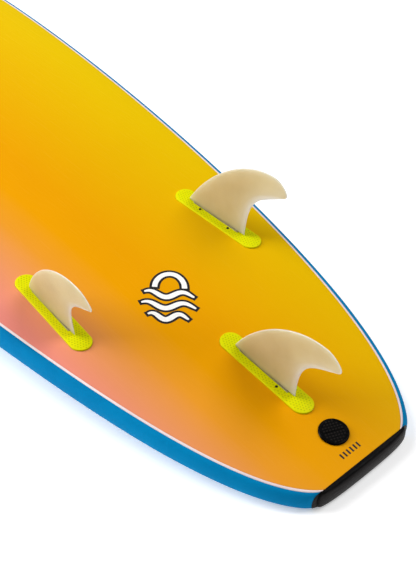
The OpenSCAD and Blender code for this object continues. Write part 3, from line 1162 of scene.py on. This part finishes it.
def make_studs():
    """A square grid of small blunt studs inside the cap's rim, clear of the slot."""
    stacks = []
    count = int(STUDS_REACH / STUD_PITCH) + 1
    for row in range(-count, count + 1):
        for column in range(-count, count + 1):
            x = column * STUD_PITCH
            y = (row + 0.5) * STUD_PITCH
            y += math.copysign(STUDS_OFF_SLOT, y)
            if math.hypot(x, y) <= STUDS_REACH:
                stacks.append(stud_rings(x, y))
    return ring_stacks("cap_studs", stacks, 30)


def keep_node(node, material, width=0.3):
    """Shows a CAD node itself, with a material and lightly rounded edges."""
    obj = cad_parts[node]
    obj.data.materials.clear()
    obj.data.materials.append(material)
    if width:
        bevel = obj.modifiers.new("edges", "BEVEL")
        bevel.width = width * MM
        bevel.segments = 2
        bevel.limit_method = "ANGLE"
        bevel.angle_limit = math.radians(40)


def dress_nodes():
    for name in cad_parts:
        if name.startswith("screw_"):
            keep_node(name, BLACK_STEEL, 0.15)
        elif name.startswith("core_"):
            keep_node(name, BEADS, 0)
        elif name.startswith("stringer_"):
            keep_node(name, PLYWOOD, 0)
    keep_node("leash_cup", GREY_PLASTIC)
    keep_node("leash_bar", BRIGHT_STEEL)


# --- Printed marks --------------------------------------------------------------------------


def emblem_point(x, y, lift):
    """A point of the emblem, given in its own upright millimetres, on the slick."""
    turn = math.radians(EMBLEM_TURN)
    along_x = x * math.cos(turn) - y * math.sin(turn)
    along_y = x * math.sin(turn) + y * math.cos(turn)
    s = EMBLEM_AT[1] + along_y
    return on_board(EMBLEM_AT[0] + along_x, s, slick_z(s) + lift)


def ink_stroke(name, spine, widths, lift, material):
    """A thin printed stroke along a line of points."""
    points = []
    for k, (x, y) in enumerate(spine):
        before = spine[max(0, k - 1)]
        after = spine[min(len(spine) - 1, k + 1)]
        along = Vector((after[0] - before[0], after[1] - before[1])).normalized()
        half = widths[k] / 2
        points.append(emblem_point(x - along[1] * half, y + along[0] * half, lift))
        points.append(emblem_point(x + along[1] * half, y - along[0] * half, lift))
    faces = [(2 * k, 2 * k + 1, 2 * k + 3, 2 * k + 2) for k in range(len(spine) - 1)]
    stroke = make_mesh(name, points, faces, 60)
    stroke.data.materials.append(material)
    return stroke


def swell_line(level, reach):
    """A rolling line across the emblem with its stroke widths."""
    spine = []
    widths = []
    for k in range(STROKE_STEPS + 1):
        share = k / STROKE_STEPS
        x = (share - 0.5) * EMBLEM_W * reach
        y = level + SWELL_TALL * math.sin(2 * math.pi * (1.5 * share + 0.1))
        spine.append((x, y))
        widths.append(SWELL_STROKE[0] + SWELL_STROKE[1] * math.sin(math.pi * share) ** 0.7)
    return spine, widths


def sun_arc():
    spine = []
    for k in range(STROKE_STEPS + 1):
        angle = math.pi * k / STROKE_STEPS
        x = SUN_RADII[0] * math.cos(angle)
        spine.append((x, SUN_LEVEL + SUN_RADII[1] * math.sin(angle)))
    return spine, [SUN_STROKE] * (STROKE_STEPS + 1)


def widened(spine, widths, extra):
    """The same stroke, longer and wider by extra at every side."""
    first = Vector(spine[0])
    last = Vector(spine[-1])
    before = first + (first - Vector(spine[1])).normalized() * extra
    after = last + (last - Vector(spine[-2])).normalized() * extra
    longer = [tuple(before)] + spine + [tuple(after)]
    return longer, [w + 2 * extra for w in [widths[0]] + widths + [widths[-1]]]


def make_emblem():
    """A generic mark in place of the printed name: a sun over rolling swells."""
    strokes = [sun_arc()] + [swell_line(level, reach) for level, reach in SWELLS]
    inks = ((EMBLEM_OUTLINE, INK_BLACK), (0, INK_WHITE))
    parts = []
    for layer, (extra, material) in enumerate(inks):
        for n, (spine, widths) in enumerate(strokes):
            line, wide = widened(spine, widths, extra) if extra else (spine, widths)
            lift = INK_LIFT * (1 + layer) + 0.01 * n
            parts.append(ink_stroke(f"mark_{layer}_{n}", line, wide, lift, material))
    emblem = join("printed_emblem", parts, 60)
    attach(emblem, "board")


def make_tail_mark():
    """Plain bars in place of the small print beside the leash cap."""
    parts = []
    for k in range(BAR_COUNT):
        x = BARS_FROM + BAR_PITCH * k
        points = []
        for s in BAR_ROWS:
            points.append(on_board(x, s, slick_z(s) + INK_LIFT))
            points.append(on_board(x + BAR_W, s, slick_z(s) + INK_LIFT))
        bar = make_mesh(f"bar_{k}", points, [(0, 1, 3, 2), (2, 3, 5, 4)])
        bar.data.materials.append(INK_BLACK)
        parts.append(bar)
    mark = join("printed_bars", parts, 60)
    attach(mark, "board")


# --- Studio ---------------------------------------------------------------------------------


def make_floor():
    n = FLOOR_STEPS + 1
    line = [(k / FLOOR_STEPS - 0.5) * FLOOR_SIZE for k in range(n)]
    points = [(x, y, FLOOR_Z) for y in line for x in line]
    corners = [row * n + column for row in range(n - 1) for column in range(n - 1)]
    faces = [(a, a + 1, a + n + 1, a + n) for a in corners]
    floor = make_mesh("floor", points, faces)
    look = Look("floor_pale")
    look.surface.inputs["Specular IOR Level"].default_value = 0.05
    look.speckled(srgb(250, 250, 250), srgb(248, 248, 249), 3.0)
    look.set("Roughness", look.span(look.noise(40.0), 0.3, 0.7, 0.8, 0.9))
    look.surface.inputs["Emission Color"].default_value = (1, 1, 1, 1)
    look.surface.inputs["Emission Strength"].default_value = 0.34
    floor.data.materials.append(look.material)


def add_light(name, azimuth, elevation, size, power):
    """A soft square light aimed at the tail half of the board."""
    az = math.radians(azimuth)
    el = math.radians(elevation)
    away = Vector((math.sin(az) * math.cos(el), -math.cos(az) * math.cos(el), math.sin(el)))
    data = bpy.data.lights.new(name, "AREA")
    data.shape = "SQUARE"
    data.size = size
    data.energy = power
    light = bpy.data.objects.new(name, data)
    light.location = Vector(LIGHT_AIM) + away * LIGHT_DISTANCE
    light.rotation_euler = away.to_track_quat("Z", "Y").to_euler()
    bpy.context.scene.collection.objects.link(light)


def make_camera():
    data = bpy.data.cameras.new("camera")
    data.lens = CAMERA_LENS
    data.sensor_width = 36
    data.shift_x, data.shift_y = CAMERA_SHIFT
    data.clip_start = 0.05
    data.clip_end = 50
    camera = bpy.data.objects.new("camera", data)
    turn = Matrix.Rotation(math.radians(CAMERA_AZIMUTH), 4, "Z")
    turn = turn @ Matrix.Rotation(math.radians(90 - CAMERA_ELEVATION), 4, "X")
    turn = turn @ Matrix.Rotation(math.radians(CAMERA_ROLL), 4, "Z")
    camera.matrix_world = Matrix.Translation(CAMERA_AT) @ turn
    bpy.context.scene.collection.objects.link(camera)
    bpy.context.scene.camera = camera


def make_studio():
    scene = bpy.context.scene
    scene.view_settings.view_transform = "Standard"
    world = bpy.data.worlds.new("studio")
    world.use_nodes = True
    background = world.node_tree.nodes["Background"]
    background.inputs["Color"].default_value = (1, 1, 1, 1)
    background.inputs["Strength"].default_value = WORLD_STRENGTH
    scene.world = world
    make_floor()
    for light in LIGHTS:
        add_light(*light)
    make_camera()


def main():
    make_slick()
    make_edges()
    make_deck()
    make_bumper()
    for name, which in SIDES.items():
        make_box(name, which)
        make_fin(name, which)
    make_cap()
    dress_nodes()
    make_emblem()
    make_tail_mark()
    make_studio()


main()
